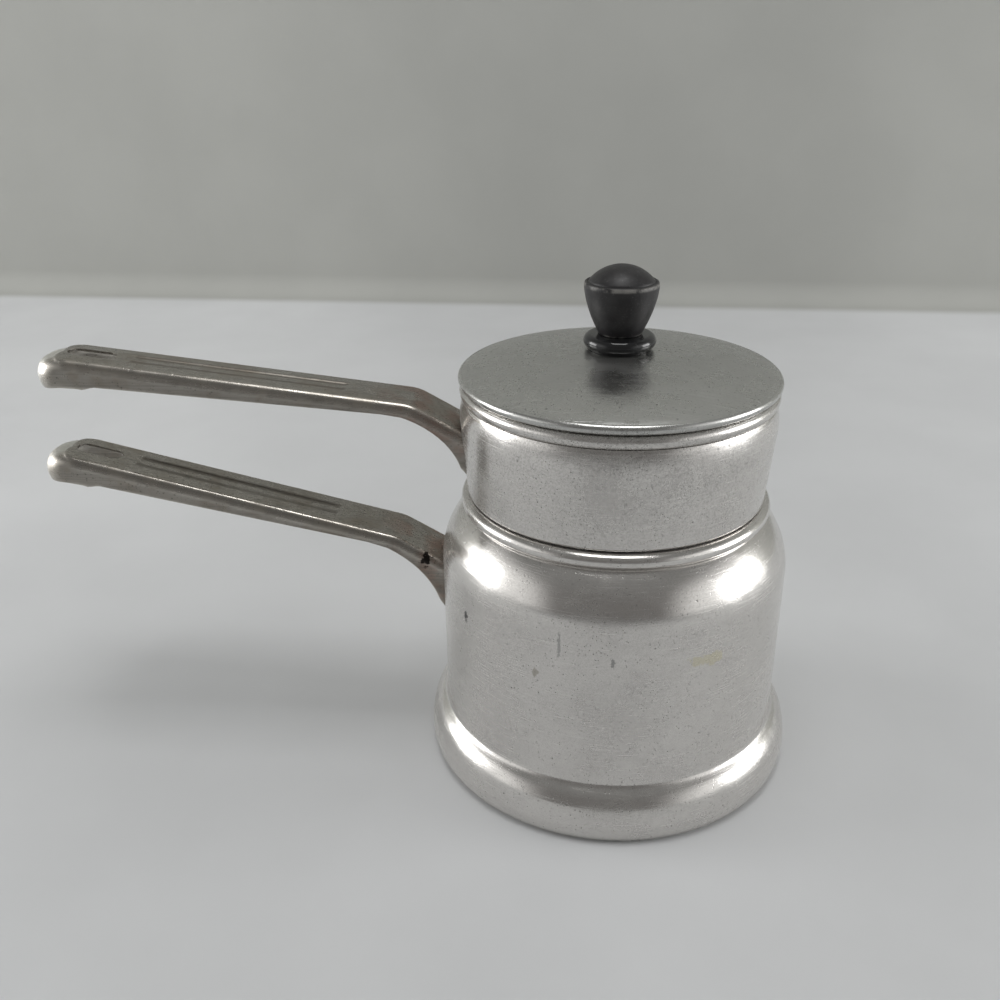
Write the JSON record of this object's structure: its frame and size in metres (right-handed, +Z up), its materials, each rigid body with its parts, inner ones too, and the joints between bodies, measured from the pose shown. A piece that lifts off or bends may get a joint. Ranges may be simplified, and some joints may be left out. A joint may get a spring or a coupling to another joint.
{
  "type": "double boiler",
  "caption": "Small stovetop double boiler: a lower water pot, a hanging inset pan with its own handle, and a domed lid with a round knob.",
  "frame": {"origin": "on the lower pot's axis, at the level of the surface that the foot stands on", "axes": "+Z up along the pot's axis; both handles point to -X, the inset's turned 1 degree from the pot's toward -Y"},
  "size_m": [0.2593, 0.126, 0.1683],
  "materials": {
    "pot_aluminium": "polished spun aluminium, aged, with fine scratches",
    "lid_aluminium": "satin spun aluminium with fine scratches and a polished edge",
    "handle_steel": "worn plated steel, drawn lengthwise, slightly pitted",
    "rivet_aluminium": "dull aluminium",
    "knob_black": "matt black, worn at the rim",
    "ring_black": "glossy black",
    "screw_steel": "plain steel"
  },
  "bodies": {
    "pot_body": {"lower_pot": "pot_aluminium", "pot_handle": "handle_steel", "pot_rivet_upper": "rivet_aluminium", "pot_rivet_lower": "rivet_aluminium"},
    "inset_body": {"inset_pan": "pot_aluminium", "inset_handle": "handle_steel", "inset_rivet_upper": "rivet_aluminium", "inset_rivet_lower": "rivet_aluminium"},
    "lid_body": {"lid": "lid_aluminium", "knob_base": "ring_black", "knob": "knob_black", "knob_washer": "screw_steel", "knob_screw": "screw_steel"}
  },
  "joints": [
    {"name": "inset_lift", "type": "slide", "parent": "pot_body", "child": "inset_body", "axis": [0, 0, 1], "range_m": [0, 0.1]},
    {"name": "lid_lift", "type": "slide", "parent": "inset_body", "child": "lid_body", "axis": [0, 0, 1], "range_m": [0, 0.05]}
  ]
}
